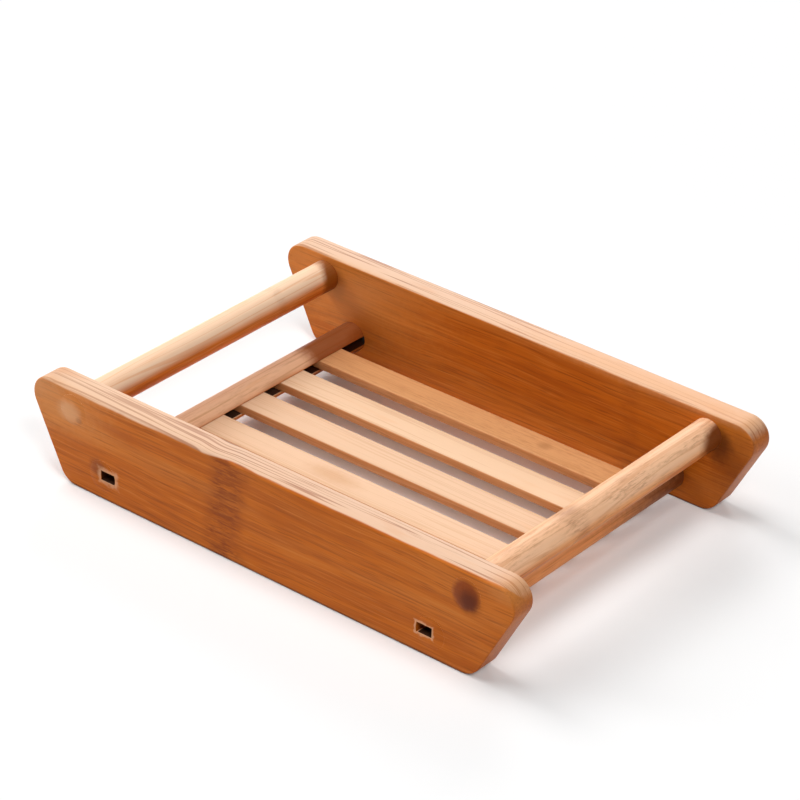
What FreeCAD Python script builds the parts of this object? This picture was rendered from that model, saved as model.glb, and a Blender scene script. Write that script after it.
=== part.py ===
import FreeCAD, Part
import os

# Bamboo soap dish: two side boards joined by four round rails, with a floor of slats housed in the lower rails.
# Millimetres. +X runs along the boards, +Y from the front board to the back board, +Z up.
# The origin is on the table, below the middle of the dish.

# Side boards, each a trapezium that widens upwards
dish_width = 84.0          # over the outer faces of both boards
board_thickness = 6.0
board_height = 22.2
board_top_length = 126.4   # between the top corners, before they are rounded
board_foot_length = 103.8  # between the foot corners, before they are rounded
top_corner_radius = 4.3
foot_corner_radius = 4.6
board_edge_round = 0.4     # around both large faces

# Round rails through the boards, glued in and sanded flush with the outer faces
rail_diameter = 6.8
rail_glue_gap = 0.05       # between a rail and its hole, all round
top_rail_drop = 4.7        # from the boards' top edge down to the rail's middle
top_rail_inset = 11.3      # from the boards' slanted end in to the rail's middle
slat_rail_rise = 5.4       # from the table up to the rail's middle
slat_rail_inset = 13.0     # from the boards' slanted end in to the rail's middle

# Groove along the inward side of each lower rail
groove_depth = 3.8
groove_lift = 0.1          # from the rail's middle up to the groove's middle
groove_end_gap = 0.3       # between a slat's end and the groove's floor
groove_glue_gap = 0.05     # above and below a slat

# Slats, spread evenly between the two that lie next to the boards
slat_count = 5
slat_width = 7.4
slat_thickness = 2.1
slat_board_gap = 7.15      # from a board to the slat next to it
slat_edge_round = 0.3      # along the slat's four long edges

# Workshop values
overrun = 1.0              # how far each cut runs past the wood
round_wall_share = 0.45    # most of a wall's thickness that a rounded edge may take

# Places that follow from the sizes
half_width = dish_width / 2
rail_radius = rail_diameter / 2
top_rail_height = board_height - top_rail_drop
slat_height = slat_rail_rise + groove_lift
along_y = FreeCAD.Vector(0, 1, 0)


def board_end(height):
    """Distance of a board's slanted end from the dish's middle, at a height above the table."""
    foot_end = board_foot_length / 2
    top_end = board_top_length / 2
    return foot_end + (top_end - foot_end) * height / board_height


top_rail_place = board_end(top_rail_height) - top_rail_inset
slat_rail_place = board_end(slat_rail_rise) - slat_rail_inset
groove_floor_place = slat_rail_place - rail_radius + groove_depth


def rod(diameter, x, z, start, length):
    """Round rod that runs along Y from a starting place."""
    return Part.makeCylinder(diameter / 2, length, FreeCAD.Vector(x, start, z), along_y)


def board_blank(start):
    """Board with sharp corners, its front face at a place along Y."""
    foot_end = board_end(0)
    top_end = board_end(board_height)
    corners = [
        FreeCAD.Vector(-foot_end, start, 0),
        FreeCAD.Vector(foot_end, start, 0),
        FreeCAD.Vector(top_end, start, board_height),
        FreeCAD.Vector(-top_end, start, board_height),
    ]
    outline = Part.makePolygon(corners + corners[:1])
    return Part.Face(outline).extrude(along_y * board_thickness)


def round_corners(board):
    """Rounds the board's four corners, as seen from its side."""
    crossing = [edge for edge in board.Edges if edge.BoundBox.YLength > board_thickness / 2]
    top = [edge for edge in crossing if edge.CenterOfMass.z > board_height / 2]
    board = board.makeFillet(top_corner_radius, top)
    crossing = [edge for edge in board.Edges if edge.BoundBox.YLength > board_thickness / 2]
    foot = [edge for edge in crossing if edge.CenterOfMass.z < board_height / 2]
    return board.makeFillet(foot_corner_radius, foot)


def soften_edges(board):
    """Rounds over the whole outline of both large faces."""
    radius = min(board_edge_round, round_wall_share * board_thickness)
    outline = [edge for edge in board.Edges if edge.BoundBox.YLength < board_thickness / 2]
    return board.makeFillet(radius, outline)


def drill_rail_holes(board, start):
    """Drills the board through for the four rails."""
    bore = rail_diameter + 2 * rail_glue_gap
    length = board_thickness + 2 * overrun
    for side in (-1, 1):
        board = board.cut(rod(bore, side * top_rail_place, top_rail_height, start - overrun, length))
        board = board.cut(rod(bore, side * slat_rail_place, slat_rail_rise, start - overrun, length))
    return board


def side_board(start):
    """One finished side board, its front face at a place along Y."""
    board = soften_edges(round_corners(board_blank(start)))
    return drill_rail_holes(board, start)


def top_rail(side):
    """Plain round rail below a top corner; side is -1 at the left and 1 at the right."""
    return rod(rail_diameter, side * top_rail_place, top_rail_height, -half_width, dish_width)


def slat_rail(side):
    """Round rail near a foot corner, grooved from end to end along its inward side."""
    rail = rod(rail_diameter, side * slat_rail_place, slat_rail_rise, -half_width, dish_width)
    depth = groove_depth + overrun
    length = dish_width + 2 * overrun
    height = slat_thickness + 2 * groove_glue_gap
    left = groove_floor_place - depth if side > 0 else -groove_floor_place
    corner = FreeCAD.Vector(left, -half_width - overrun, slat_height - height / 2)
    return rail.cut(Part.makeBox(depth, length, height, corner))


def slat(middle):
    """Flat slat that reaches into both grooves, centred at a place along Y."""
    half_length = groove_floor_place - groove_end_gap
    corner = FreeCAD.Vector(-half_length, middle - slat_width / 2, slat_height - slat_thickness / 2)
    blank = Part.makeBox(2 * half_length, slat_width, slat_thickness, corner)
    long_edges = [edge for edge in blank.Edges if edge.BoundBox.XLength > half_length]
    return blank.makeFillet(min(slat_edge_round, round_wall_share * slat_thickness), long_edges)


def slat_middles():
    """Places of the slats' middle lines along Y, from front to back."""
    last = half_width - board_thickness - slat_board_gap - slat_width / 2
    pitch = 2 * last / (slat_count - 1)
    return [pitch * index - last for index in range(slat_count)]


def soap_dish():
    """Every piece of the dish, by name."""
    pieces = {
        "front_side_board": side_board(-half_width),
        "back_side_board": side_board(half_width - board_thickness),
        "left_top_rail": top_rail(-1),
        "right_top_rail": top_rail(1),
        "left_slat_rail": slat_rail(-1),
        "right_slat_rail": slat_rail(1),
    }
    for number, middle in enumerate(slat_middles(), start=1):
        pieces[f"slat_{number}"] = slat(middle)
    return pieces


os.makedirs("parts", exist_ok=True)
for name, shape in soap_dish().items():
    shape.exportStep(f"parts/{name}.step")
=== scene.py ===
"""Looks of the bamboo soap dish: boards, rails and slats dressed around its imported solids."""
import logging
import math
from dataclasses import dataclass, field, replace
from enum import Enum, Flag, auto
from typing import Any, Callable, Dict, Iterable, List, Optional, Tuple, Union

import bmesh
import bpy
from mathutils import Color, Matrix, Vector


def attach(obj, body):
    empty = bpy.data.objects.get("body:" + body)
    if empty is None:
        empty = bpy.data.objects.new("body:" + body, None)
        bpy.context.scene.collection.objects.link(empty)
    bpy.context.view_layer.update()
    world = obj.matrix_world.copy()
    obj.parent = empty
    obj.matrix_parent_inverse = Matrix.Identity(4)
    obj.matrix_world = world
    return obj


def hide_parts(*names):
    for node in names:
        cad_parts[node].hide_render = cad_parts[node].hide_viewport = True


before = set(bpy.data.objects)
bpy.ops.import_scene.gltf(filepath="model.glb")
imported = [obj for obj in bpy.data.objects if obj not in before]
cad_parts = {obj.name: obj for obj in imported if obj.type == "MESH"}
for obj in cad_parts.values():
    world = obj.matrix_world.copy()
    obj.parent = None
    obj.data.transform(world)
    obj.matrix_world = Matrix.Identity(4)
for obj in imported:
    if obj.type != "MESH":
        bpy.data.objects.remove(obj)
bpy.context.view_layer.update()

MM = 0.001
BODY = "root"
LOG = logging.getLogger("soap_dish")
NEAR = 0.01  # places closer than this, in millimetres, count as the same
FAR = 1.0  # edges longer than this, in millimetres, run along a piece
OVERRUN = 1.0  # how far a cutter runs past the wood, in millimetres
NOISE_MIDDLE = 0.5
WHITE = (1.0, 1.0, 1.0, 1.0)

Place = Tuple[float, float, float]
Colour = Tuple[float, float, float, float]


class Axis(Enum):
    """Directions of the dish: X along the boards, Y from front to back, Z up."""

    X = (1.0, 0.0, 0.0)
    Y = (0.0, 1.0, 0.0)
    Z = (0.0, 0.0, 1.0)


class Way(Flag):
    """Ways through the wood, as its fibres run."""

    ALONG = auto()
    ACROSS = auto()
    DEEP = auto()


class Slot(Enum):
    """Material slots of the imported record."""

    SIDE_BOARD = "side_board_bamboo"
    RAIL = "rail_bamboo"
    SLAT = "slat_bamboo"


class Pick(Enum):
    """What a click in edit mode would select."""

    CORNERS = "VERT"
    EDGES = "EDGE"


class Hand(Enum):
    """Left or right end of the dish, as the sign of X."""

    LEFT = -1
    RIGHT = 1


def paint(code: str) -> Colour:
    """Turns a screen colour, six hexadecimal digits, into the linear colour that shaders use."""
    parts = [int(code[start:start + 2], 16) / 255 for start in (0, 2, 4)]
    return (*Color(parts).from_srgb_to_scene_linear(), 1.0)


@dataclass(frozen=True)
class Fade:
    """Smooth mask: nothing at start and its whole share at end, which may lie below start."""

    start: float
    end: float
    share: float = 1.0


@dataclass(frozen=True)
class Pattern:
    """Noise in the wood: features per millimetre along and across the fibres, and how fine they are.

    The seed of a piece moves the pattern in the ways that shift names, so that no two pieces look alike.
    """

    along: float
    across: float
    detail: float = 2.0
    rough: float = 0.5
    shift: Way = Way.ALONG


class Value:
    """Output of a shader node that Python's operators work on."""

    def __init__(self, sheet: "NodeSheet", socket: bpy.types.NodeSocket) -> None:
        """Keeps the output and the sheet that it lies on."""
        self.sheet = sheet
        self.socket = socket

    def _math(self, operation: str, first: "Number", second: "Number") -> "Value":
        """Adds a Math node for two numbers."""
        return self.sheet.node("ShaderNodeMath", {"operation": operation}, {0: first, 1: second})

    def __add__(self, other: "Number") -> "Value":
        """Adds a number."""
        return self._math("ADD", self, other)

    def __radd__(self, other: "Number") -> "Value":
        """Adds to a number."""
        return self._math("ADD", other, self)

    def __sub__(self, other: "Number") -> "Value":
        """Takes a number away."""
        return self._math("SUBTRACT", self, other)

    def __rsub__(self, other: "Number") -> "Value":
        """Is taken away from a number."""
        return self._math("SUBTRACT", other, self)

    def __mul__(self, other: "Number") -> "Value":
        """Multiplies by a number."""
        return self._math("MULTIPLY", self, other)

    def __rmul__(self, other: "Number") -> "Value":
        """Multiplies a number."""
        return self._math("MULTIPLY", other, self)

    def __pow__(self, other: "Number") -> "Value":
        """Raises to a power."""
        return self._math("POWER", self, other)

    def __abs__(self) -> "Value":
        """Drops the sign."""
        return self._math("ABSOLUTE", self, 0.0)

    def most(self, other: "Number") -> "Value":
        """Keeps the larger of two numbers."""
        return self._math("MAXIMUM", self, other)

    def fade(self, mask: Fade) -> "Value":
        """Puts this number through a smooth mask."""
        inputs = {"Value": self, "From Min": mask.start, "From Max": mask.end, "To Max": mask.share}
        return self.sheet.node("ShaderNodeMapRange", {"interpolation_type": "SMOOTHSTEP"}, inputs)


Number = Union[Value, float, int]
Run = Tuple[Number, Number, Number]


class NodeSheet:
    """Node tree on which shader nodes are laid out by code."""

    def __init__(self, tree: bpy.types.NodeTree) -> None:
        """Empties the tree and keeps it."""
        self.tree = tree
        tree.nodes.clear()

    def node(
        self,
        kind: str,
        settings: Optional[Dict[str, Any]] = None,
        inputs: Optional[Dict[Union[str, int], Any]] = None,
        output: Union[str, int] = 0,
    ) -> Value:
        """Adds one node.

        Args:
            kind: The node's type.
            settings: Properties of the node, set before its sockets.
            inputs: Values or links of its sockets, by name or number.
            output: Which output is wanted.

        Returns:
            The wanted output, or the first input of a node that has no outputs.
        """
        made = self.tree.nodes.new(kind)
        for name, setting in (settings or {}).items():
            setattr(made, name, setting)
        for name, value in (inputs or {}).items():
            if isinstance(value, Value):
                self.tree.links.new(value.socket, made.inputs[name])
            else:
                made.inputs[name].default_value = value
        return Value(self, made.outputs[output]) if len(made.outputs) else Value(self, made.inputs[0])

    def noise(self, place: Run, detail: float, rough: float) -> Value:
        """Adds cloudy noise whose features are about one unit of the place wide.

        Args:
            place: Where the noise is read.
            detail: How many finer layers it has.
            rough: How strong these are.

        Returns:
            The noise, from 0 to 1.
        """
        vector = self.node("ShaderNodeCombineXYZ", {}, dict(enumerate(place)))
        inputs = {"Vector": vector, "Scale": 1.0, "Detail": detail, "Roughness": rough}
        return self.node("ShaderNodeTexNoise", {"noise_dimensions": "3D"}, inputs)

    def mix(self, share: Number, low: Union[Value, Colour], high: Union[Value, Colour]) -> Value:
        """Mixes two colours; share 0 gives the first."""
        settings = {"data_type": "RGBA", "blend_type": "MIX", "clamp_factor": True}
        return self.node("ShaderNodeMix", settings, {0: share, 6: low, 7: high}, 2)


@dataclass(frozen=True)
class FibreLayer:
    """Browned fibres: broad tones, streaks, thin lines and short dashes, all a little bent."""

    bend: Pattern = Pattern(0.03, 0.05, detail=1.0)
    bend_reach: float = 2.4
    tone: Pattern = Pattern(0.02, 0.16)
    tone_fade: Fade = Fade(0.45, 0.72, 0.4)
    streak: Pattern = Pattern(0.03, 0.7, 3.0, 0.6, Way.ACROSS)
    streak_fade: Fade = Fade(0.34, 0.62)
    streak_relief: float = 0.5
    line: Pattern = Pattern(0.055, 2.3, 2.0, 0.6, Way.DEEP)
    pale_line: Fade = Fade(0.54, 0.7)
    dark_line: Fade = Fade(0.46, 0.3)
    line_relief: float = 0.6
    dash: Pattern = Pattern(0.13, 3.2, 1.0, 0.5, Way.DEEP)
    dash_fade: Fade = Fade(0.6, 0.74, 1.1)
    dash_relief: float = 0.25


@dataclass(frozen=True)
class SheenLayer:
    """Painted sheen: wide and fine fibre lines that are left in it, and clouds of a deeper tone."""

    sway: Pattern = Pattern(0.02, 0.1, 1.0, shift=Way.ALONG | Way.DEEP)
    sway_reach: float = 1.6
    kink_fade: Fade = Fade(5.0, 0.0, 0.45)
    wide: Pattern = Pattern(0.012, 0.75, 1.0, shift=Way.ACROSS | Way.DEEP)
    wide_fade: Fade = Fade(0.045, 0.01)
    fine: Pattern = Pattern(0.05, 2.2, 2.0, 0.6, Way.ALONG | Way.DEEP)
    fine_fade: Fade = Fade(0.4, 0.27, 0.8)
    line_relief: float = 0.6
    cloud: Pattern = Pattern(0.05, 0.3)
    cloud_fade: Fade = Fade(0.56, 0.75, 0.3)


@dataclass(frozen=True)
class FleckLayer:
    """Short brown flecks that come in patches."""

    short: Pattern = Pattern(0.25, 2.0, 3.0, 0.7)
    short_fade: Fade = Fade(0.44, 0.68)
    patch: Pattern = Pattern(0.06, 0.25, 1.0, shift=Way.ACROSS)
    patch_fade: Fade = Fade(0.32, 0.55)


@dataclass(frozen=True)
class EndLayer:
    """Open pores in the sawn ends of a board."""

    facing: Fade = Fade(0.45, 0.8)
    pores: Pattern = Pattern(0.0, 1.4, 3.0, 0.65)
    pore_fade: Fade = Fade(0.35, 0.65, 0.5)
    least_share: float = 0.5


@dataclass(frozen=True)
class BambooFinish:
    """Heat-browned bamboo, sanded and rubbed to a satin sheen, with painted sheen on faces that look up and
    painted shade on rail crowns, in grooves and along board feet.
    """

    main: str = "C26614"
    dark: str = "B0580F"
    light: str = "CE7C34"
    fibre: str = "8A4312"
    # Painted sheen: a pale tone on faces that look up, and the real fibre lines left in it.
    sheen_tone: str = "DFBA9C"
    sheen_line_tone: str = "9C6446"
    culm_node: str = "8C4210"
    # Painted shade inside the slat grooves.
    groove: str = "260A02"
    fray: str = "D8A880"
    # Painted contact shadow along a board's foot.
    foot: str = "4C2412"
    # Where the painted sheen begins and is full, by how far a face looks up, and how strong it is.
    sheen_start: float = 0.3
    sheen_end: float = 0.85
    sheen_share: float = 0.9
    line_share: float = 0.75
    streaks: float = 0.5
    roughness: float = 0.34
    rough_swing: float = 0.12
    sheen_level: float = 0.12
    relief: float = 0.05
    fleck: float = 0.0
    fleck_tone: str = "A6663E"
    # Painted shade on a rail's crown: its strength, tone and the facing at which it begins.
    crown_shade: float = 0.0
    crown_shade_tone: str = "D8A078"
    crown_shade_facing: Fade = Fade(0.82, 0.99)
    # Where the painted foot shadow is full, as a share of its height, and how strong it is.
    foot_shadow_core: float = 0.2
    foot_shadow_share: float = 0.8
    fibre_layer: FibreLayer = FibreLayer()
    sheen_layer: SheenLayer = SheenLayer()
    fleck_layer: FleckLayer = FleckLayer()
    end_layer: EndLayer = EndLayer()


BOARD_BAMBOO = BambooFinish()
# Rails: painted sheen on their upper sides and painted shade on their crowns.
RAIL_BAMBOO = BambooFinish(
    main="DA7C2C",
    dark="C46620",
    light="ECA86E",
    fibre="9E5520",
    sheen_tone="FCDCBC",
    sheen_line_tone="ECAE80",
    sheen_start=0.05,
    sheen_end=0.65,
    line_share=0.55,
    streaks=0.4,
    crown_shade=0.3,
)
# Right top rail: its painted sheen reaches below its middle; its flecks are real.
STREAKED_BAMBOO = replace(
    RAIL_BAMBOO, main="E69650", sheen_tone="FCCCA4", sheen_line_tone="DCA278", sheen_start=-0.25, sheen_end=0.5, fleck=0.5
)
LOW_RAIL_BAMBOO = replace(RAIL_BAMBOO, sheen_tone="F2C29C", sheen_line_tone="C89268", fleck=0.2, crown_shade=0.0)
WARM_RAIL_BAMBOO = replace(
    RAIL_BAMBOO,
    main="F09A58",
    dark="DC8A48",
    light="F4AE74",
    sheen_tone="FABC8C",
    sheen_line_tone="D89A68",
    sheen_start=0.2,
)
SLAT_BAMBOO = BambooFinish(
    main="D8945F",
    dark="CC8650",
    light="E2AC7C",
    fibre="B87848",
    sheen_tone="E0BA98",
    sheen_line_tone="C4946A",
    line_share=0.35,
)
# Slat 4 takes a paler painted sheen.
BRIGHT_SLAT_BAMBOO = replace(SLAT_BAMBOO, sheen_tone="E9C5A2")
# Slat 5, next to the back board: a deeper sheen tone paints the board's shade on it; its brown flecks are
# real.
FLECKED_SHADE_PAINTED_SLAT_BAMBOO = replace(SLAT_BAMBOO, sheen_tone="D49A68", sheen_line_tone="B67A48", fleck=0.35)


@dataclass(frozen=True)
class CulmNode:
    """A node of the bamboo culm: a wavering ring of mottles and specks that crosses a piece."""

    place: float
    width: float
    depth: float
    core_share: float = 0.2
    sway: Pattern = Pattern(0.0, 0.22, 1.0)
    sway_reach: float = 2.0
    mottle: Pattern = Pattern(0.22, 0.9, 3.0, 0.65, Way.DEEP)
    mottle_fade: Fade = Fade(0.38, 0.62, 0.7)
    least_shade: float = 0.15
    speck: Pattern = Pattern(0.3, 2.8, 2.0, 0.6, Way.DEEP)
    speck_fade: Fade = Fade(0.5, 0.66, 0.7)
    relief: float = 0.3


@dataclass(frozen=True)
class StainOrShadeSpot:
    """A spot of another tone, a real stain or painted light or shade: its middle and its reach along X, Y
    and Z, and how soft its rim is.
    """

    place: Place
    reach: Place
    tone: str
    share: float
    soft: float
    uneven: Pattern = Pattern(0.9, 0.9, shift=Way.DEEP)
    uneven_reach: float = 0.25


@dataclass(frozen=True)
class GrooveMouth:
    """Open end of a slat groove in a board's outer face."""

    x: float
    z: float
    half_length: float
    half_height: float


@dataclass(frozen=True)
class Fray:
    """Pale frayed rim of a groove's open end."""

    share: float
    reach: float
    inner_reach: float = 0.05
    ragged: Pattern = Pattern(1.1, 1.1, shift=Way.DEEP)
    ragged_reach: float = 0.7
    facing: Fade = Fade(0.5, 0.9)


@dataclass(frozen=True)
class PaintedGrooveShade:
    """Painted shade inside a groove, within a radius of its rail's middle and short of the rail's ends."""

    x: float
    z: float
    radius: float
    reach: float
    soft: float = 0.2
    end_soft: float = 0.15
    share: float = 0.95


@dataclass(frozen=True)
class EndSeam:
    """Sawn rail ends that carry on the boards' fibres beyond a distance from the dish's middle."""

    finish: BambooFinish
    front_seed: float
    back_seed: float
    reach: float
    soft: float = 0.2
    facing: Fade = Fade(0.7, 0.9)


@dataclass(frozen=True)
class EdgeSheen:
    """Painted sheen on a board's top, with the reaches past its outer edge at which the sheen begins."""

    face: float
    top: float
    left_reach: float = -0.55
    middle_reach: float = 0.35
    middle_fade: Fade = Fade(-16.0, -8.0)
    right_reach: float = 0.6
    right_fade: Fade = Fade(20.0, 46.0)
    culm_node: float = -6.5
    node_fade: Fade = Fade(5.0, 0.5, 0.2)
    ragged: Pattern = Pattern(0.12, 0.0, shift=Way.ACROSS | Way.DEEP)
    ragged_reach: float = 0.35
    rim_fade: Fade = Fade(-0.2, 0.35)
    inner_face: Fade = Fade(0.98, 0.85)
    sawn_end: Fade = Fade(0.98, 0.75)


FRONT_STAINS_AND_HIGHLIGHT = (
    StainOrShadeSpot((49.5, -42.0, 17.2), (3.3, 1.5, 3.4), "84390C", 0.9, 0.3),
    StainOrShadeSpot((50.2, -42.0, 16.2), (2.6, 1.5, 2.6), "4E1A04", 0.75, 0.8),
    StainOrShadeSpot((-50.6, -42.0, 16.8), (3.3, 1.5, 2.4), "DCAE86", 0.5, 0.6),
    StainOrShadeSpot((-47.9, -42.0, 15.6), (0.9, 1.5, 0.7), "7A4630", 0.5, 0.6),
    StainOrShadeSpot((-42.9, -42.0, 6.9), (2.3, 1.5, 2.1), "783C20", 0.65, 0.6),
    # Painted highlight along the left part of the front board's top edge.
    StainOrShadeSpot((-45.0, -39.0, 22.2), (25.0, 4.0, 1.5), "EFCDAC", 0.2, 0.8),
    StainOrShadeSpot((-61.0, -39.0, 20.5), (8.0, 6.0, 4.0), "C48A60", 0.5, 0.8),
    StainOrShadeSpot((-55.0, -42.0, 18.0), (15.0, 1.5, 7.0), "E0A266", 0.35, 0.9),
    StainOrShadeSpot((59.0, -39.0, 21.5), (6.0, 5.0, 3.0), "D08A4C", 0.5, 0.8),
)
BACK_PAINTED_LIGHT_AND_STAINS = (
    # Painted shadow of the right top rail on the back board.
    StainOrShadeSpot((52.6, 36.0, 15.8), (3.2, 1.2, 4.2), "4E2008", 0.75, 0.7),
    # Painted shadow of the left top rail on the back board.
    StainOrShadeSpot((-46.4, 36.0, 15.8), (2.6, 1.2, 3.4), "6C320C", 0.55, 0.7),
    # Painted shade low on the back board's right part, under the right rails.
    StainOrShadeSpot((50.0, 36.0, 7.0), (9.0, 1.2, 7.0), "6A300C", 0.3, 0.9),
    # Painted shade on the back board's right end.
    StainOrShadeSpot((57.0, 36.0, 12.0), (6.0, 1.2, 10.0), "7A3A0E", 0.5, 0.9),
    # Painted pool of light on the back board's left part.
    StainOrShadeSpot((-44.0, 36.0, 15.0), (26.0, 1.2, 11.0), "DA944E", 0.45, 0.9),
    StainOrShadeSpot((40.0, 39.0, 22.2), (45.0, 4.5, 1.5), "E2A470", 0.6, 0.8),
)
RAIL_STAINS_AND_PAINTED_SHADE = (
    StainOrShadeSpot((49.0, -11.0, 20.2), (2.8, 4.4, 2.5), "B48460", 0.5, 0.8),
    # Painted shade on the right top rail's back end, on its outer side.
    StainOrShadeSpot((53.2, 37.0, 17.5), (3.4, 8.0, 4.6), "703408", 0.97, 0.35),
    # Painted shade on the left top rail's back end, on its inner flank.
    StainOrShadeSpot((-45.6, 36.5, 16.8), (2.2, 5.0, 3.8), "7C4216", 0.8, 0.5),
    # Painted shade over the left top rail's back end.
    StainOrShadeSpot((-47.5, 37.5, 17.5), (6.0, 6.2, 5.5), "8A4812", 0.97, 0.25),
    # Painted shade on the left slat rail's back end.
    StainOrShadeSpot((-38.4, 36.0, 5.5), (3.0, 6.0, 4.5), "4E2008", 0.9, 0.5),
    # Painted shadow over the back part of the left slat rail.
    StainOrShadeSpot((-41.6, 40.0, 6.0), (10.0, 23.0, 10.0), "904818", 0.92, 0.15),
    # Painted shade over the back part of the right slat rail.
    StainOrShadeSpot((43.6, 40.0, 5.5), (10.0, 27.0, 8.0), "5A260A", 0.95, 0.9),
)
SLAT_STAINS = (
    StainOrShadeSpot((17.8, 25.5, 6.55), (1.8, 1.4, 0.5), "945C34", 0.4, 0.8),
    StainOrShadeSpot((-6.5, -12.4, 6.55), (7.0, 2.4, 0.8), "C48C5C", 0.5, 0.8),
)


class BambooCoat:
    """Shader of one bamboo piece, laid on layer by layer."""

    def __init__(self, piece: bpy.types.Object, finish: BambooFinish, grain: Axis, seed: float) -> None:
        """Opens a new material for a piece.

        Args:
            piece: The piece.
            finish: Its colours and layers.
            grain: The way that its fibres run.
            seed: Where in the endless pattern this piece is cut from.
        """
        self.piece = piece
        self.finish = finish
        self.grain = grain
        self.seed = seed
        self.material = bpy.data.materials.new(piece.name + "_bamboo")
        self.material.use_nodes = True
        self.sheet = NodeSheet(self.material.node_tree)
        self.x, self.y, self.z = (part * (1 / MM) for part in self.parts("Object"))
        self.facing = self.parts("Normal")
        self.colour, self.height = self.fibres(finish, grain, seed)

    def parts(self, name: str) -> List[Value]:
        """The three parts of a texture coordinate."""
        whole = self.sheet.node("ShaderNodeTexCoord", {}, {}, name)
        return [self.sheet.node("ShaderNodeSeparateXYZ", {}, {0: whole}, number) for number in range(3)]

    def run(self, grain: Axis) -> Run:
        """Places along the fibres, across them and into the wood."""
        return (self.x, self.z, self.y) if grain is Axis.X else (self.y, self.x, self.z)

    def noise(self, pattern: Pattern, run: Run, seed: float, drift: Optional[Value] = None) -> Value:
        """Draws a pattern.

        Args:
            pattern: The pattern.
            run: Places along the fibres, across them and into the wood.
            seed: How far the pattern is moved.
            drift: How far it sways across the fibres, in its own features.

        Returns:
            Noise from 0 to 1.
        """
        along, across, deep = run
        across = across * pattern.across
        if drift is not None:
            across = across + drift
        places = (along * pattern.along, across, deep * pattern.across)
        moved = [place + seed if way in pattern.shift else place for place, way in zip(places, Way)]
        return self.sheet.noise(tuple(moved), pattern.detail, pattern.rough)

    def waver(self, pattern: Pattern, run: Run, reach: float) -> Value:
        """Noise that goes to both sides of zero, about as far as a reach."""
        return self.noise(pattern, run, self.seed) * (reach / NOISE_MIDDLE) - reach

    def fibres(self, finish: BambooFinish, grain: Axis, seed: float) -> Tuple[Value, Value]:
        """Draws the browned fibres.

        Args:
            finish: Colours of the bamboo.
            grain: The way that the fibres run.
            seed: Where the pattern is cut from.

        Returns:
            Their colour, and their relief from 0 to about 1.
        """
        layer, mix = finish.fibre_layer, self.sheet.mix
        along, across, deep = self.run(grain)
        bend = self.noise(layer.bend, (along, across, deep), seed) * layer.bend_reach
        run = (along, across + bend, deep)
        tone = self.noise(layer.tone, run, seed)
        streak = self.noise(layer.streak, run, seed)
        line = self.noise(layer.line, run, seed)
        dash = self.noise(layer.dash, run, seed)
        colour = mix(streak.fade(layer.streak_fade), paint(finish.dark), paint(finish.main))
        colour = mix(tone.fade(layer.tone_fade), colour, paint(finish.light))
        colour = mix(line.fade(layer.pale_line) * finish.streaks, colour, paint(finish.light))
        colour = mix(line.fade(layer.dark_line) * finish.streaks, colour, paint(finish.fibre))
        colour = mix(dash.fade(layer.dash_fade) * finish.streaks, colour, paint(finish.fibre))
        relief = line * layer.line_relief + streak * layer.streak_relief + dash * layer.dash_relief
        return colour, relief

    def upward_sheen(self) -> Value:
        """Share of the painted sheen on faces that look up."""
        return self.facing[2].fade(Fade(self.finish.sheen_start, self.finish.sheen_end))

    def over_edge(self, painted_sheen: EdgeSheen) -> Value:
        """Finds the painted sheen on a board's top, which ends unevenly along its outer edge.

        Args:
            painted_sheen: Where the painted sheen begins.

        Returns:
            Share of the painted sheen, from 0 to 1.
        """
        past = (self.z - painted_sheen.top) + (self.y - painted_sheen.face)
        middle = self.x.fade(painted_sheen.middle_fade) * (painted_sheen.middle_reach - painted_sheen.left_reach)
        right = self.x.fade(painted_sheen.right_fade) * (painted_sheen.right_reach - painted_sheen.middle_reach)
        dip = abs(self.x - painted_sheen.culm_node).fade(painted_sheen.node_fade)
        ragged = self.waver(painted_sheen.ragged, (self.x, 0.0, 0.0), painted_sheen.ragged_reach)
        start = middle + right + dip + ragged + painted_sheen.left_reach
        outside = self.facing[1].fade(painted_sheen.inner_face) * abs(self.facing[0]).fade(painted_sheen.sawn_end)
        return (past - start).fade(painted_sheen.rim_fade) * outside

    def painted_sheen(self, share: Value, kink: Optional[float] = None) -> None:
        """Paints sheen on the surface as a pale tone, with thin fibre lines left in it.

        Args:
            share: How much painted sheen the surface takes, from 0 to 1.
            kink: Place along the grain where the lines swerve round a culm node.
        """
        sheet, finish, layer = self.sheet, self.finish, self.finish.sheen_layer
        along, across, deep = self.run(self.grain)
        side = deep if self.grain is Axis.X else across
        if kink is not None:
            side = side + abs(along - kink).fade(layer.kink_fade)
        flat = (along, side, 0.0)
        sway = self.noise(layer.sway, flat, self.seed) * layer.sway_reach
        wide = self.noise(layer.wide, flat, self.seed, sway)
        fine = self.noise(layer.fine, flat, self.seed, sway)
        cloud = self.noise(layer.cloud, (along, side, across), self.seed)
        lines = abs(wide - NOISE_MIDDLE).fade(layer.wide_fade).most(fine.fade(layer.fine_fade))
        lines = lines * finish.line_share
        pale = sheet.mix(lines, paint(finish.sheen_tone), paint(finish.sheen_line_tone))
        pale = sheet.mix(cloud.fade(layer.cloud_fade), pale, paint(finish.light))
        self.colour = sheet.mix(share * finish.sheen_share, self.colour, pale)
        self.height = self.height - lines * share * layer.line_relief

    def flecks(self) -> None:
        """Strews short brown flecks over the surface, on finishes that have them."""
        finish, layer = self.finish, self.finish.fleck_layer
        if not finish.fleck:
            return
        run = self.run(self.grain)
        short = self.noise(layer.short, run, self.seed).fade(layer.short_fade)
        patch = self.noise(layer.patch, run, self.seed).fade(layer.patch_fade)
        self.colour = self.sheet.mix(short * patch * finish.fleck, self.colour, paint(finish.fleck_tone))

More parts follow.
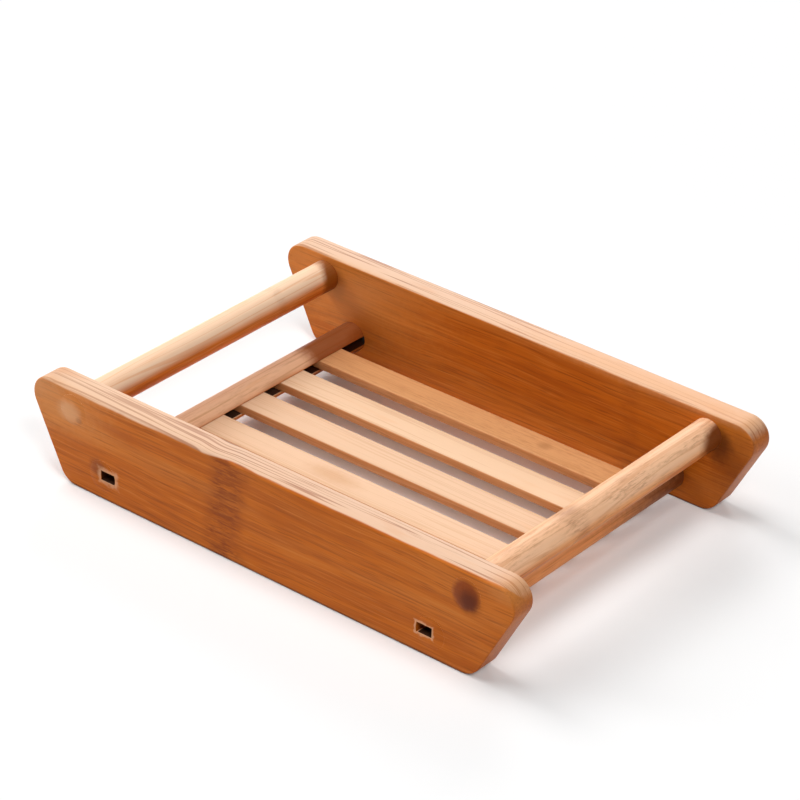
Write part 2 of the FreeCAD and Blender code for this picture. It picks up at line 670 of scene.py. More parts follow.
    def tan(self) -> None:
        """Paints shade on the crown of a round rail, holding back the light that is brightest there."""
        crown_shade = self.facing[2].fade(self.finish.crown_shade_facing) * self.finish.crown_shade
        self.colour = self.sheet.mix(crown_shade, self.colour, paint(self.finish.crown_shade_tone))

    def cross(self, node: CulmNode) -> None:
        """Draws a culm node across the fibres.

        Args:
            node: The culm node.
        """
        along, across, deep = self.run(self.grain)
        sway = self.waver(node.sway, (0.0, across, deep), node.sway_reach)
        core = node.width * node.core_share
        ring = abs(along + sway - node.place).fade(Fade(node.width, core, node.depth))
        mottle = self.noise(node.mottle, (along, across, deep), self.seed).fade(node.mottle_fade)
        speck = self.noise(node.speck, (along, across, deep), self.seed).fade(node.speck_fade)
        shade = ring * (mottle + speck + node.least_shade)
        self.colour = self.sheet.mix(shade, self.colour, paint(self.finish.culm_node))
        self.height = self.height - shade * node.relief

    def seam_ends(self, seam: EndSeam) -> None:
        """Carries the boards' fibres over a rail's two sawn ends.

        Args:
            seam: The boards' finish and where the ends begin.
        """
        sawn = abs(self.facing[1]).fade(seam.facing)
        for side, seed in ((-1, seam.front_seed), (1, seam.back_seed)):
            colour = self.fibres(seam.finish, Axis.X, seed)[0]
            end = (self.y * side).fade(Fade(seam.reach - seam.soft, seam.reach))
            self.colour = self.sheet.mix(sawn * end, self.colour, colour)

    def spot(self, stain_or_shade: StainOrShadeSpot) -> None:
        """Lays on one spot: a real stain, or painted light or shade.

        Args:
            stain_or_shade: The spot.
        """
        run = (self.x, self.y, self.z)
        squares = [
            ((value - middle) * (1 / reach)) ** 2.0
            for value, middle, reach in zip(run, stain_or_shade.place, stain_or_shade.reach)
        ]
        uneven = self.waver(stain_or_shade.uneven, run, stain_or_shade.uneven_reach)
        away = (squares[0] + squares[1] + squares[2]) ** 0.5 + uneven * stain_or_shade.soft
        share = away.fade(Fade(1.0 + stain_or_shade.soft / 2, 1.0 - stain_or_shade.soft, stain_or_shade.share))
        self.colour = self.sheet.mix(share, self.colour, paint(stain_or_shade.tone))

    def fray(self, mouth: GrooveMouth, fray: Fray) -> None:
        """Frays the rim of a groove's open end in the front face.

        Args:
            mouth: The open end.
            fray: Its rim.
        """
        ragged = self.waver(fray.ragged, (self.x, self.z, 0.0), fray.ragged_reach)
        off_x = abs(self.x - mouth.x) - mouth.half_length
        off_z = abs(self.z - mouth.z) - mouth.half_height
        rim = (off_x.most(off_z) + ragged).fade(Fade(fray.reach, fray.inner_reach, fray.share))
        front = (self.facing[1] * -1.0).fade(fray.facing)
        self.colour = self.sheet.mix(rim * front, self.colour, paint(self.finish.fray))

    def paint_groove_shade(self, shade: PaintedGrooveShade) -> None:
        """Paints shade on the inside of a groove.

        Args:
            shade: Where the groove lies and how dark its painted shade is.
        """
        away = ((self.x - shade.x) ** 2.0 + (self.z - shade.z) ** 2.0) ** 0.5
        hollow = away.fade(Fade(shade.radius, shade.radius - shade.soft, shade.share))
        inside = abs(self.y).fade(Fade(shade.reach, shade.reach - shade.end_soft))
        self.colour = self.sheet.mix(hollow * inside, self.colour, paint(self.finish.groove))

    def paint_foot_shadow(self, height: float) -> None:
        """Paints contact shadow along a board's foot, darkest at the floor."""
        foot_shadow = self.z.fade(Fade(height, height * self.finish.foot_shadow_core, self.finish.foot_shadow_share))
        self.colour = self.sheet.mix(foot_shadow, self.colour, paint(self.finish.foot))

    def darken_ends(self, share: float) -> None:
        """Darkens the sawn ends of a board.

        Args:
            share: How dark they get, from 0 to 1.
        """
        layer = self.finish.end_layer
        pores = self.noise(layer.pores, (0.0, self.y, self.z), self.seed).fade(layer.pore_fade)
        sawn = abs(self.facing[0]).fade(layer.facing) * (pores + layer.least_share)
        self.colour = self.sheet.mix(sawn * share, self.colour, paint(self.finish.fibre))

    def apply(self) -> None:
        """Closes the material and puts it on the piece."""
        sheet, finish = self.sheet, self.finish
        surface = {"Strength": 1.0, "Distance": finish.relief * MM, "Height": self.height}
        bump = sheet.node("ShaderNodeBump", {}, surface, "Normal")
        looks = {
            "Base Color": self.colour,
            "Roughness": self.height * finish.rough_swing + finish.roughness,
            "Specular IOR Level": finish.sheen_level,
            "Normal": bump,
        }
        shader = sheet.node("ShaderNodeBsdfPrincipled", {}, looks)
        sheet.node("ShaderNodeOutputMaterial", {}, {"Surface": shader})
        self.piece.data.materials.clear()
        self.piece.data.materials.append(self.material)


class Bench:
    """Bench on which one piece is shaped by Blender's own operators, in millimetres."""

    def __init__(self, piece: bpy.types.Object) -> None:
        """Takes up a piece that has just been added or copied, and fixes its place in its mesh.

        Args:
            piece: The piece.
        """
        self.piece = piece
        self.hold()
        bpy.ops.object.transform_apply(location=True, rotation=True, scale=True)

    @staticmethod
    def clear() -> None:
        """Leaves edit mode and deselects everything."""
        if bpy.context.mode != "OBJECT":
            bpy.ops.object.mode_set(mode="OBJECT")
        bpy.ops.object.select_all(action="DESELECT")

    @classmethod
    def block(cls, name: str, low: Place, high: Place) -> "Bench":
        """Starts a piece as a block.

        Args:
            name: The piece's name.
            low: The block's lowest corner.
            high: Its highest corner.

        Returns:
            The piece's bench.
        """
        cls.clear()
        middle = [(a + b) / 2 * MM for a, b in zip(low, high)]
        size = [(b - a) * MM for a, b in zip(low, high)]
        bpy.ops.mesh.primitive_cube_add(size=1.0, location=middle, scale=size)
        bpy.context.object.name = name
        return cls(bpy.context.object)

    @classmethod
    def rod(
        cls, name: str, radius: float, middle: Tuple[float, float], ends: Tuple[float, float], sides: int
    ) -> "Bench":
        """Starts a piece as a round rod along Y.

        Args:
            name: The piece's name.
            radius: The rod's radius.
            middle: Its middle line, as x and z.
            ends: Where it starts and ends along Y.
            sides: How many flat sides it has.

        Returns:
            The piece's bench.
        """
        cls.clear()
        (x, z), (start, end) = middle, ends
        bpy.ops.mesh.primitive_cylinder_add(
            vertices=sides,
            radius=radius * MM,
            depth=(end - start) * MM,
            location=(x * MM, (start + end) / 2 * MM, z * MM),
            rotation=(math.pi / 2, 0, 0),
        )
        bpy.context.object.name = name
        return cls(bpy.context.object)

    def hold(self) -> None:
        """Makes this piece the only one that operators act on."""
        self.clear()
        self.piece.select_set(True)
        bpy.context.view_layer.objects.active = self.piece

    def copy(self, name: str, shift: Place = (0.0, 0.0, 0.0), turn: float = 0.0) -> "Bench":
        """Copies the piece with a mesh of its own.

        Args:
            name: The copy's name.
            shift: How far the copy moves.
            turn: Angle about the dish's upright middle line, in radians.

        Returns:
            The bench of the copy.
        """
        self.hold()
        bpy.ops.object.duplicate(linked=False)
        twin = bpy.context.object
        twin.name = name
        twin.location = Vector(shift) * MM
        twin.rotation_euler.z = turn
        return Bench(twin)

    def edit(self, pick: Pick) -> None:
        """Enters edit mode with nothing selected.

        Args:
            pick: What is to be selected there.
        """
        self.hold()
        bpy.ops.object.mode_set(mode="EDIT")
        bpy.ops.mesh.select_mode(type=pick.value)
        bpy.ops.mesh.select_all(action="DESELECT")

    def pick_corners(self, wanted: Callable[[Vector], bool]) -> None:
        """Enters edit mode and selects vertices.

        Args:
            wanted: Tells from its place whether a vertex is selected.
        """
        self.edit(Pick.CORNERS)
        mesh = bmesh.from_edit_mesh(self.piece.data)
        for corner in mesh.verts:
            if wanted(corner.co / MM):
                corner.select_set(True)
        mesh.select_flush_mode()
        bmesh.update_edit_mesh(self.piece.data)

    def pick_edges(self, wanted: Callable[[Vector, Vector], bool]) -> None:
        """Enters edit mode and selects edges.

        Args:
            wanted: Tells from the places of its two ends whether an edge is selected.
        """
        self.edit(Pick.EDGES)
        mesh = bmesh.from_edit_mesh(self.piece.data)
        for edge in mesh.edges:
            if wanted(edge.verts[0].co / MM, edge.verts[1].co / MM):
                edge.select_set(True)
        mesh.select_flush_mode()
        bmesh.update_edit_mesh(self.piece.data)

    def stretch(self, factors: Place, middle: Place) -> None:
        """Scales what is selected about a place."""
        bpy.ops.transform.resize(value=factors, center_override=[c * MM for c in middle])

    def round_over(self, width: float, steps: int, profile: float = 0.5) -> None:
        """Bevels the selected edges."""
        size = {"offset_type": "OFFSET", "offset": width * MM}
        bpy.ops.mesh.bevel(**size, segments=steps, profile=profile, affect="EDGES")

    def slice(self, axis: Axis, places: Iterable[float]) -> None:
        """Cuts the whole mesh across an axis, so that it has corners there.

        Args:
            axis: The axis.
            places: Where along it the cuts lie.
        """
        self.edit(Pick.EDGES)
        for place in places:
            bpy.ops.mesh.select_all(action="SELECT")
            bpy.ops.mesh.bisect(plane_co=Vector(axis.value) * place * MM, plane_no=axis.value)
        self.clear()

    def cut_by(self, tool: "Bench") -> None:
        """Cuts the tool's shape out of the piece and throws the tool away.

        Args:
            tool: The tool.
        """
        self.hold()
        bpy.ops.object.modifier_add(type="BOOLEAN")
        cut = self.piece.modifiers[-1]
        cut.operation = "DIFFERENCE"
        cut.solver = "EXACT"
        cut.object = tool.piece
        bpy.ops.object.modifier_apply(modifier=cut.name)
        bpy.data.objects.remove(tool.piece)

    def sand(self, depth: float, spread: float, wanted: Callable[[Vector], bool]) -> None:
        """Takes an uneven shaving off the surface.

        Args:
            depth: Most that is taken off.
            spread: Width of the hollows.
            wanted: Which places are sanded.
        """
        self.hold()
        group = self.piece.vertex_groups.new(name="sanded")
        group.add([v.index for v in self.piece.data.vertices if wanted(v.co / MM)], 1.0, "REPLACE")
        waves = bpy.data.textures.new(self.piece.name + "_sanding", "CLOUDS")
        waves.noise_scale = spread * MM
        bpy.ops.object.modifier_add(type="DISPLACE")
        shave = self.piece.modifiers[-1]
        shave.texture = waves
        shave.strength = depth * MM
        shave.mid_level = 1.0
        shave.vertex_group = group.name
        bpy.ops.object.modifier_apply(modifier=shave.name)
        self.piece.vertex_groups.clear()

    def finish(self, angle: float = 35.0) -> bpy.types.Object:
        """Shades the piece smooth but for its sharp edges.

        Args:
            angle: Edges sharper than this, in degrees, stay sharp.

        Returns:
            The finished piece.
        """
        self.hold()
        bpy.ops.object.shade_smooth_by_angle(angle=math.radians(angle))
        self.piece.data.name = self.piece.name
        return self.piece


def hand_in(piece: bpy.types.Object, node: str) -> None:
    """Puts a finished piece in its node's stead and reports it.

    Args:
        piece: The finished piece.
        node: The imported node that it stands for.
    """
    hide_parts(node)
    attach(piece, BODY)
    LOG.info("%s stands for %s, %d faces", piece.name, node, len(piece.data.polygons))


def steps(start: float, end: float, count: int) -> List[float]:
    """Places that divide a stretch into equal parts, without its ends."""
    return [start + (end - start) * number / count for number in range(1, count)]


@dataclass(frozen=True)
class DishPlan:
    """Sizes that several pieces share; the boards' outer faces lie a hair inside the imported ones."""

    half_width: float = 41.99
    board_thickness: float = 6.0
    board_height: float = 22.2
    top_half: float = 63.2
    foot_half: float = 51.9
    rail_radius: float = 3.4
    top_rail_drop: float = 4.7
    top_rail_inset: float = 11.3
    slat_rail_z: float = 5.4
    slat_rail_inset: float = 13.0
    groove_depth: float = 3.8
    groove_lift: float = 0.1
    groove_height: float = 2.2

    def board_end(self, z: float) -> float:
        """Distance of a board's slanted end from the dish's middle, at a height."""
        return self.foot_half + (self.top_half - self.foot_half) * z / self.board_height

    @property
    def top_rail_z(self) -> float:
        """Height of the top rails' middle."""
        return self.board_height - self.top_rail_drop

    @property
    def top_rail_x(self) -> float:
        """Distance of the top rails from the dish's middle."""
        return self.board_end(self.top_rail_z) - self.top_rail_inset

    @property
    def slat_rail_x(self) -> float:
        """Distance of the slat rails from the dish's middle."""
        return self.board_end(self.slat_rail_z) - self.slat_rail_inset

    @property
    def groove_mouth(self) -> float:
        """Distance of the slat rails' inward side from the dish's middle."""
        return self.slat_rail_x - self.rail_radius

    @property
    def groove_floor(self) -> float:
        """Distance of the grooves' floor from the dish's middle."""
        return self.groove_mouth + self.groove_depth

    @property
    def groove_z(self) -> float:
        """Height of the grooves' middle."""
        return self.slat_rail_z + self.groove_lift

    def rail_places(self) -> List[Tuple[float, float]]:
        """Finds the four rails.

        Returns:
            Their middle lines as x and z.
        """
        top = [(hand.value * self.top_rail_x, self.top_rail_z) for hand in Hand]
        low = [(hand.value * self.slat_rail_x, self.slat_rail_z) for hand in Hand]
        return top + low

    def mouths(self) -> List[GrooveMouth]:
        """Finds both groove ends in a board's outer face.

        Returns:
            The left one and the right one.
        """
        half, half_height = self.groove_depth / 2, self.groove_height / 2
        middle = self.groove_mouth + half
        return [GrooveMouth(hand.value * middle, self.groove_z, half, half_height) for hand in Hand]


@dataclass
class SideBoards:
    """The two trapezium boards, front and back."""

    plan: DishPlan
    finish: BambooFinish
    top_reach: float = 7.02
    top_bulge: float = 0.451
    top_steps: int = 12
    foot_reach: float = 2.82
    foot_bulge: float = 0.533
    foot_steps: int = 8
    edge_round: float = 0.4
    edge_steps: int = 5
    hole_sides: int = 64
    hole_flare: float = 0.015
    slices_long: int = 44
    slices_high: int = 7
    sanding: float = 0.06
    sanding_spread: float = 14.0
    foot_margin: float = 0.5
    hole_margin: float = 0.6
    left_wear: float = 2.6
    right_wear: float = 1.2
    wear_fall: float = 1.6
    wear_level_share: float = 0.3
    front_seed: float = 3.7
    back_seed: float = 21.3
    front_node: CulmNode = CulmNode(-9.0, 6.5, 0.9)
    back_node: CulmNode = CulmNode(31.0, 3.0, 0.25)
    front_kink: float = -13.0
    end_tone: float = 0.45
    # Height of the painted contact shadow along the boards' feet.
    foot_shadow_height: float = 0.8
    frays: Tuple[Fray, ...] = (Fray(0.6, 1.2), Fray(0.7, 0.6))
    pieces: List[bpy.types.Object] = field(default_factory=list)

    def drill(self, start: float, end: float, x: float, z: float) -> Bench:
        """Makes a drill for a rail hole, flared where it leaves the board.

        Args:
            start: The board's front face along Y.
            end: The board's back face along Y.
            x: Hole middle along the board.
            z: Hole middle above the table.

        Returns:
            The drill's bench.
        """
        radius, flare = self.plan.rail_radius, self.hole_flare
        tips = (start - OVERRUN, end + OVERRUN)
        tool = Bench.rod("drill", radius, (x, z), tips, self.hole_sides)
        tool.slice(Axis.Y, [start + flare, end - flare])
        wide = (radius + OVERRUN + flare) / radius
        for tip in tips:
            tool.pick_corners(lambda p, tip=tip: abs(p.y - tip) < NEAR)
            tool.stretch((wide, 1.0, wide), (x, tip, z))
        tool.clear()
        return tool

    def crosses(self, p: Vector, q: Vector) -> bool:
        """Tells whether an edge runs through the board's thickness."""
        return abs(p.y - q.y) > self.plan.board_thickness / 2

    def build(self) -> None:
        """Shapes the front board and copies it to the back."""
        plan, top = self.plan, self.plan.board_height
        start, end = -plan.half_width, -plan.half_width + plan.board_thickness
        board = Bench.block("front_board", (-plan.top_half, start, 0.0), (plan.top_half, end, top))
        board.pick_corners(lambda p: p.z < top / 2)
        board.stretch((plan.foot_half / plan.top_half, 1.0, 1.0), (0.0, 0.0, 0.0))
        board.pick_edges(lambda p, q: self.crosses(p, q) and p.z > top - NEAR)
        board.round_over(self.top_reach, self.top_steps, self.top_bulge)
        board.pick_edges(lambda p, q: self.crosses(p, q) and p.z < NEAR)
        board.round_over(self.foot_reach, self.foot_steps, self.foot_bulge)
        board.pick_edges(lambda p, q: abs(p.y - q.y) < NEAR)
        board.round_over(self.edge_round, self.edge_steps)
        for x, z in plan.rail_places():
            board.cut_by(self.drill(start, end, x, z))
        board.slice(Axis.X, steps(-plan.top_half, plan.top_half, self.slices_long))
        board.slice(Axis.Z, steps(0.0, top, self.slices_high))
        back = board.copy("back_board", (0.0, 2 * plan.half_width - plan.board_thickness, 0.0))
        self.wear_top_edge(board, start)
        for bench in (board, back):
            bench.sand(self.sanding, self.sanding_spread, self.is_open)
            self.pieces.append(bench.finish())

    def wear_top_edge(self, board: Bench, face: float) -> None:
        """Rounds the top edge of the front face more at the left than at the right.

        Args:
            board: The front board.
            face: Its outer face along Y.
        """
        half, top = self.plan.top_half, self.plan.board_height
        reach = self.edge_round + NEAR
        straight = half - self.top_reach
        for x in steps(-half, half, self.slices_long):
            if abs(x) > straight:
                continue
            way = (x + straight) / (2 * straight)
            share = min(max(way * self.wear_fall - self.wear_level_share, 0.0), 1.0)
            wear = self.left_wear + (self.right_wear - self.left_wear) * share
            board.pick_corners(
                lambda p, x=x: abs(p.x - x) < NEAR and p.y < face + reach and p.z > top - reach
            )
            board.stretch((1.0, wear, wear), (x, face, top))
        board.clear()

    def is_open(self, p: Vector) -> bool:
        """Tells whether a place on a board may be sanded: not its foot and not round a rail."""
        near = min(math.hypot(p.x - x, p.z - z) for x, z in self.plan.rail_places())
        return p.z > self.foot_margin and near > self.plan.rail_radius + self.hole_margin

    def dress(self) -> None:
        """Gives the boards their bamboo and puts them in their nodes' stead."""
        plan = self.plan
        front, back = self.pieces
        coat = BambooCoat(front, self.finish, Axis.X, self.front_seed)
        coat.cross(self.front_node)
        coat.painted_sheen(coat.over_edge(EdgeSheen(-plan.half_width, plan.board_height)), self.front_kink)
        self.complete(coat, FRONT_STAINS_AND_HIGHLIGHT)
        for mouth, fray in zip(plan.mouths(), self.frays):
            coat.fray(mouth, fray)
        coat.apply()
        hand_in(front, "front_side_board")

        coat = BambooCoat(back, self.finish, Axis.X, self.back_seed)
        coat.cross(self.back_node)
        coat.painted_sheen(coat.upward_sheen())
        self.complete(coat, BACK_PAINTED_LIGHT_AND_STAINS)
        coat.apply()
        hand_in(back, "back_side_board")

    def complete(self, coat: BambooCoat, stains_and_shades: Iterable[StainOrShadeSpot]) -> None:
        """Lays on what both boards have: dark ends, painted contact shadow along the foot, and stains, some
        of which are painted light or shade.

        Args:
            coat: The board's coat.
            stains_and_shades: The board's stains and painted light and shade.
        """
        coat.darken_ends(self.end_tone)
        coat.paint_foot_shadow(self.foot_shadow_height)
        for stain_or_shade in stains_and_shades:
            coat.spot(stain_or_shade)


@dataclass(frozen=True)
class RailLook:
    """One rail: its name, the node that it stands for, its end of the dish and its bamboo."""

    name: str
    node: str
    hand: Hand
    grooved: bool
    finish: BambooFinish
    seed: float
    culm_nodes: Tuple[CulmNode, ...] = ()


LEFT_TOP = RailLook(
    "top_rail_left",
    "left_top_rail",
    Hand.LEFT,
    grooved=False,
    finish=RAIL_BAMBOO,
    seed=5.1,
    culm_nodes=(CulmNode(18.0, 2.0, 0.15),),
)
RIGHT_TOP = RailLook(
    "top_rail_right",
    "right_top_rail",
    Hand.RIGHT,
    grooved=False,
    finish=STREAKED_BAMBOO,
    seed=13.9,
    culm_nodes=(CulmNode(-11.0, 4.0, 0.35),),
)
LEFT_LOW = RailLook(
    "slat_rail_left", "left_slat_rail", Hand.LEFT, grooved=True, finish=LOW_RAIL_BAMBOO, seed=29.4
)
RIGHT_LOW = RailLook(
    "slat_rail_right", "right_slat_rail", Hand.RIGHT, grooved=True, finish=WARM_RAIL_BAMBOO, seed=37.2
)


@dataclass
class Rails:
    """The four round rails, two plain ones at the top and two grooved ones below."""

    plan: DishPlan
    boards: SideBoards
    sides: int = 72
    end_round: float = 0.02
    lip_round: float = 0.12
    round_steps: int = 2
    lip_depth: float = 0.6
    slices: int = 40
    sanding: float = 0.07
    sanding_spread: float = 9.0
    sanding_margin: float = 0.5
    end_depth: float = 0.1
    groove_rim: float = 0.2
    groove_end: float = 0.05
    pieces: Dict[RailLook, bpy.types.Object] = field(default_factory=dict)

    def blank(self, look: RailLook, x: float, z: float) -> Bench:
        """Starts a rail as a rod from face to face."""
        half, middle = self.plan.half_width, (look.hand.value * x, z)
        return Bench.rod(look.name, self.plan.rail_radius, middle, (-half, half), self.sides)

    def complete(self, rail: Bench) -> None:
        """Breaks the sharp rim of both ends of a rail and slices it along its length.

        Args:
            rail: The rail.
        """
        half = self.plan.half_width
        rail.pick_edges(lambda p, q: abs(p.y - q.y) < NEAR and abs(abs(p.y) - half) < NEAR)
        rail.round_over(self.end_round, self.round_steps)
        rail.slice(Axis.Y, steps(-half, half, self.slices))

    def groove(self, rail: Bench) -> None:
        """Cuts the groove into the left slat rail and rounds its lips.

        Args:
            rail: The rail.
        """
        plan, half = self.plan, self.plan.groove_height / 2
        length = plan.half_width + OVERRUN
        low = (-plan.groove_floor, -length, plan.groove_z - half)
        high = (-plan.groove_mouth + OVERRUN, length, plan.groove_z + half)
        rail.cut_by(Bench.block("groove_cutter", low, high))
        lips = -plan.groove_mouth - self.lip_depth
        rail.pick_edges(
            lambda p, q: abs(p.y - q.y) > FAR and p.x > lips and abs(abs(p.z - plan.groove_z) - half) < NEAR
        )
        rail.round_over(self.lip_round, self.round_steps)

    def build(self) -> None:
        """Shapes one rail of each kind, copies it to the other end and sands all four."""
        plan = self.plan
        top = self.blank(LEFT_TOP, plan.top_rail_x, plan.top_rail_z)
        self.complete(top)
        other_top = top.copy(RIGHT_TOP.name, (2 * plan.top_rail_x, 0.0, 0.0))
        low = self.blank(LEFT_LOW, plan.slat_rail_x, plan.slat_rail_z)
        self.groove(low)
        self.complete(low)
        other_low = low.copy(RIGHT_LOW.name, turn=math.pi)
        clear = plan.half_width - plan.board_thickness - self.sanding_margin
        looks = (LEFT_TOP, RIGHT_TOP, LEFT_LOW, RIGHT_LOW)
        for look, bench in zip(looks, (top, other_top, low, other_low)):
            bench.sand(self.sanding, self.sanding_spread, lambda p: abs(p.y) < clear)
            self.pieces[look] = bench.finish()

    def dress(self) -> None:
        """Gives each rail its bamboo and puts it in its node's stead."""
        plan, boards = self.plan, self.boards
        ends = plan.half_width - self.end_depth
        seam = EndSeam(boards.finish, boards.front_seed, boards.back_seed, ends)
        for look, piece in self.pieces.items():
            coat = BambooCoat(piece, look.finish, Axis.Y, look.seed)
            coat.painted_sheen(coat.upward_sheen())
            coat.flecks()
            coat.tan()
            for node in look.culm_nodes:
                coat.cross(node)
            for stain_or_shade in RAIL_STAINS_AND_PAINTED_SHADE:
                coat.spot(stain_or_shade)
            coat.seam_ends(seam)
            for stain_or_shade in FRONT_STAINS_AND_HIGHLIGHT:
                coat.spot(stain_or_shade)
            if look.grooved:
                self.dress_groove(coat, look.hand)
            coat.apply()
            hand_in(piece, look.node)

    def dress_groove(self, coat: BambooCoat, hand: Hand) -> None:
        """Frays the open ends of a groove and paints shade on its inside.

        Args:
            coat: The rail's coat.
            hand: The rail's end of the dish.
        """
        plan = self.plan
        for mouth, fray in zip(plan.mouths(), self.boards.frays):
            coat.fray(mouth, fray)
        radius = plan.rail_radius - self.groove_rim
        reach = plan.half_width - self.groove_end
        coat.paint_groove_shade(PaintedGrooveShade(hand.value * plan.slat_rail_x, plan.slat_rail_z, radius, reach))


@dataclass
class SlatFloor:
    """The five flat slats that the soap lies on, with a finish for each from front to back."""

    plan: DishPlan
    finishes: Tuple[BambooFinish, ...] = (
        SLAT_BAMBOO, SLAT_BAMBOO, SLAT_BAMBOO, BRIGHT_SLAT_BAMBOO, FLECKED_SHADE_PAINTED_SLAT_BAMBOO
    )
    width: float = 7.4
    thickness: float = 2.1
    pitch: float = 12.575
    end_gap: float = 0.3
    edge_round: float = 0.3
    edge_steps: int = 3
    slices_long: int = 30
    slices_wide: int = 4
    sanding: float = 0.06
    sanding_spread: float = 11.0
    sanding_margin: float = 0.5
    first_seed: float = 41.7
    seed_step: float = 7.9
    pieces: List[bpy.types.Object] = field(default_factory=list)

    def build(self) -> None:
        """Shapes the front slat and copies it backwards."""
        plan, count = self.plan, len(self.finishes)
        reach = plan.groove_floor - self.end_gap
        middle = -self.pitch * (count - 1) / 2
        front, back = middle - self.width / 2, middle + self.width / 2
        low, high = plan.groove_z - self.thickness / 2, plan.groove_z + self.thickness / 2
        slat = Bench.block("slat_1_bamboo", (-reach, front, low), (reach, back, high))
        slat.pick_edges(lambda p, q: abs(p.x - q.x) > FAR)
        slat.round_over(self.edge_round, self.edge_steps)
        slat.slice(Axis.X, steps(-reach, reach, self.slices_long))
        slat.slice(Axis.Y, steps(front, back, self.slices_wide))
        benches = [slat]
        for number in range(1, count):
            benches.append(slat.copy(f"slat_{number + 1}_bamboo", (0.0, self.pitch * number, 0.0)))
        clear = plan.groove_mouth - self.sanding_margin
        for bench in benches:
            bench.sand(self.sanding, self.sanding_spread, lambda p: abs(p.x) < clear)
            self.pieces.append(bench.finish())

    def dress(self) -> None:
        """Gives each slat its own cut of bamboo and puts it in its node's stead."""
        for number, (piece, finish) in enumerate(zip(self.pieces, self.finishes)):
            coat = BambooCoat(piece, finish, Axis.X, self.first_seed + self.seed_step * number)
            coat.painted_sheen(coat.upward_sheen())
            coat.flecks()
            for stain_or_shade in SLAT_STAINS:
                coat.spot(stain_or_shade)
            coat.apply()
            hand_in(piece, f"slat_{number + 1}")


@dataclass(frozen=True)
class SoftBox:
    """A round soft lamp: its angles from +X and above the floor, size in metres and power in watts."""

    name: str
    azimuth: float
    elevation: float
    size: float
    power: float


SOFT_BOXES = (
    SoftBox("left_key", 180.0, 48.0, 0.45, 3.7),
    SoftBox("left_front_box", 210.0, 30.0, 0.45, 3.55),
    SoftBox("left_back_box", 120.0, 30.0, 0.5, 3.37),
    SoftBox("right_front_box", 327.0, 45.0, 0.35, 4.1),
    SoftBox("left_top_box", 180.0, 66.0, 0.35, 1.05),
    SoftBox("top_box", 0.0, 90.0, 0.5, 2.35),
)


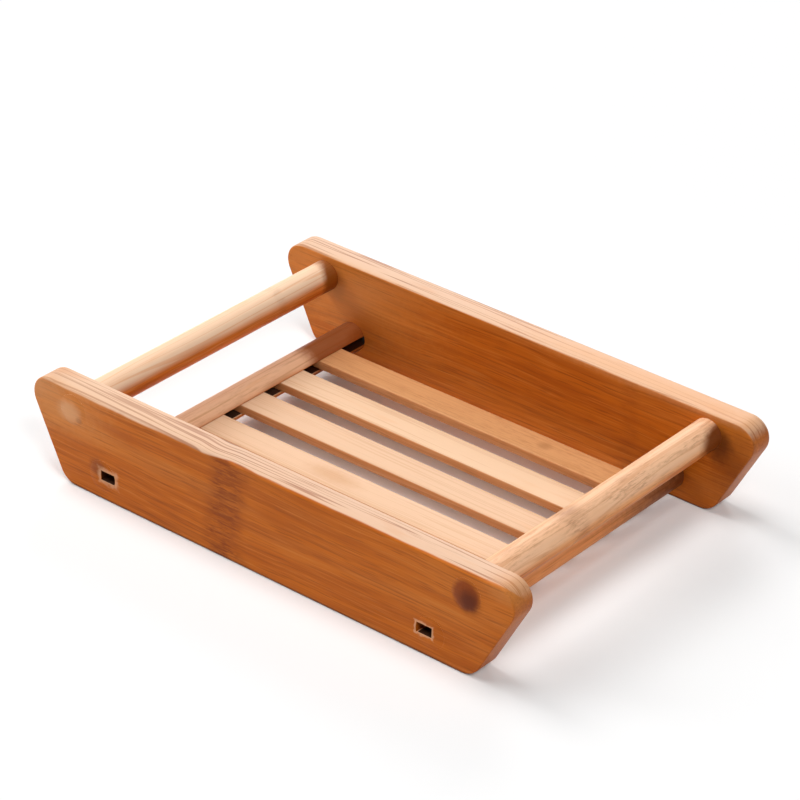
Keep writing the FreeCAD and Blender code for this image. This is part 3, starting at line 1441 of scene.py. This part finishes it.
@dataclass
class Studio:
    """White floor and soft lamps, sized in metres, and the camera, placed in millimetres."""

    azimuth: float = 37.749
    elevation: float = 29.981
    roll: float = 2.369
    distance: float = 704.791
    focal_pixels: float = 3307.175
    look_at: Place = (-25.444, 32.715, -2.667)
    image_pixels: float = 800.0
    sensor: float = 36.0
    clip_start: float = 10.0
    floor_half: float = 6.0
    lamp_distance: float = 1.0
    floor_tone: float = 0.9
    near_glow: float = 0.08
    far_glow: float = 0.95
    glow_fade: Fade = Fade(0.055, 0.16)

    def camera(self) -> None:
        """Sets the camera at the photograph's angle."""
        turn, rise, tilt = (math.radians(a) for a in (self.azimuth, self.elevation, self.roll))
        back = Vector((math.sin(turn) * math.cos(rise), -math.cos(turn) * math.cos(rise), math.sin(rise)))
        right = Vector((math.cos(turn), math.sin(turn), 0.0))
        up = back.cross(right)
        right, up = (
            right * math.cos(tilt) + up * math.sin(tilt),
            up * math.cos(tilt) - right * math.sin(tilt),
        )
        data = bpy.data.cameras.new("camera")
        data.sensor_width = self.sensor
        data.lens = self.focal_pixels * self.sensor / self.image_pixels
        data.clip_start = self.clip_start * MM
        eye = bpy.data.objects.new("camera", data)
        bpy.context.scene.collection.objects.link(eye)
        eye.matrix_world = Matrix((right, up, back)).transposed().to_4x4()
        eye.location = (Vector(self.look_at) + back * self.distance) * MM
        bpy.context.scene.camera = eye

    def lamp(self, box: SoftBox) -> None:
        """Hangs a soft box so that it faces the dish.

        Args:
            box: The soft box.
        """
        data = bpy.data.lights.new(box.name, "AREA")
        data.shape = "DISK"
        data.size = box.size
        data.energy = box.power
        turn, rise = math.radians(box.azimuth), math.radians(box.elevation)
        away = Vector((math.cos(turn) * math.cos(rise), math.sin(turn) * math.cos(rise), math.sin(rise)))
        lamp = bpy.data.objects.new(box.name, data)
        lamp.location = away * self.lamp_distance
        lamp.rotation_euler = (-away).to_track_quat("-Z", "Y").to_euler()
        bpy.context.scene.collection.objects.link(lamp)

    def world(self) -> None:
        """Shows the room white without lighting the dish by it."""
        world = bpy.data.worlds.new("room")
        world.use_nodes = True
        bpy.context.scene.world = world
        sheet = NodeSheet(world.node_tree)
        rays = ("Is Camera Ray", "Is Glossy Ray", "Is Transmission Ray")
        camera, glossy, through = (sheet.node("ShaderNodeLightPath", {}, {}, ray) for ray in rays)
        shown = camera.most(glossy).most(through)
        glow = sheet.node("ShaderNodeBackground", {}, {"Color": WHITE, "Strength": shown})
        sheet.node("ShaderNodeOutputWorld", {}, {"Surface": glow})

    def floor(self) -> None:
        """Lays a white floor that keeps the dish's shadow."""
        Bench.clear()
        bpy.ops.mesh.primitive_plane_add(size=2 * self.floor_half, location=(0.0, 0.0, 0.0))
        plane = bpy.context.object
        plane.name = "floor"
        material = bpy.data.materials.new("floor_white")
        material.use_nodes = True
        sheet = NodeSheet(material.node_tree)
        ray = sheet.node("ShaderNodeLightPath", {}, {}, "Is Camera Ray")
        place = sheet.node("ShaderNodeTexCoord", {}, {}, "Object")
        away = sheet.node("ShaderNodeVectorMath", {"operation": "LENGTH"}, {0: place}, "Value")
        share = away.fade(self.glow_fade) * (self.far_glow - self.near_glow) + self.near_glow
        white = sheet.node("ShaderNodeBsdfDiffuse", {}, {"Color": (self.floor_tone,) * 3 + (1.0,)})
        glow = sheet.node("ShaderNodeEmission", {}, {"Color": WHITE, "Strength": 1.0})
        both = sheet.node("ShaderNodeMixShader", {}, {0: ray * share, 1: white, 2: glow})
        sheet.node("ShaderNodeOutputMaterial", {}, {"Surface": both})
        plane.data.materials.append(material)

    def build(self) -> None:
        """Sets up the whole studio."""
        bpy.context.scene.view_settings.view_transform = "Standard"
        self.camera()
        self.world()
        self.floor()
        for box in SOFT_BOXES:
            self.lamp(box)


def main() -> None:
    """Builds the dish and its studio."""
    logging.basicConfig(level=logging.INFO, format="%(name)s: %(message)s")
    plan = DishPlan()
    boards = SideBoards(plan, BOARD_BAMBOO)
    for assembly in (boards, Rails(plan, boards), SlatFloor(plan)):
        assembly.build()
        assembly.dress()
    Studio().build()
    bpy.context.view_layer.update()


if __name__ == "__main__":
    main()
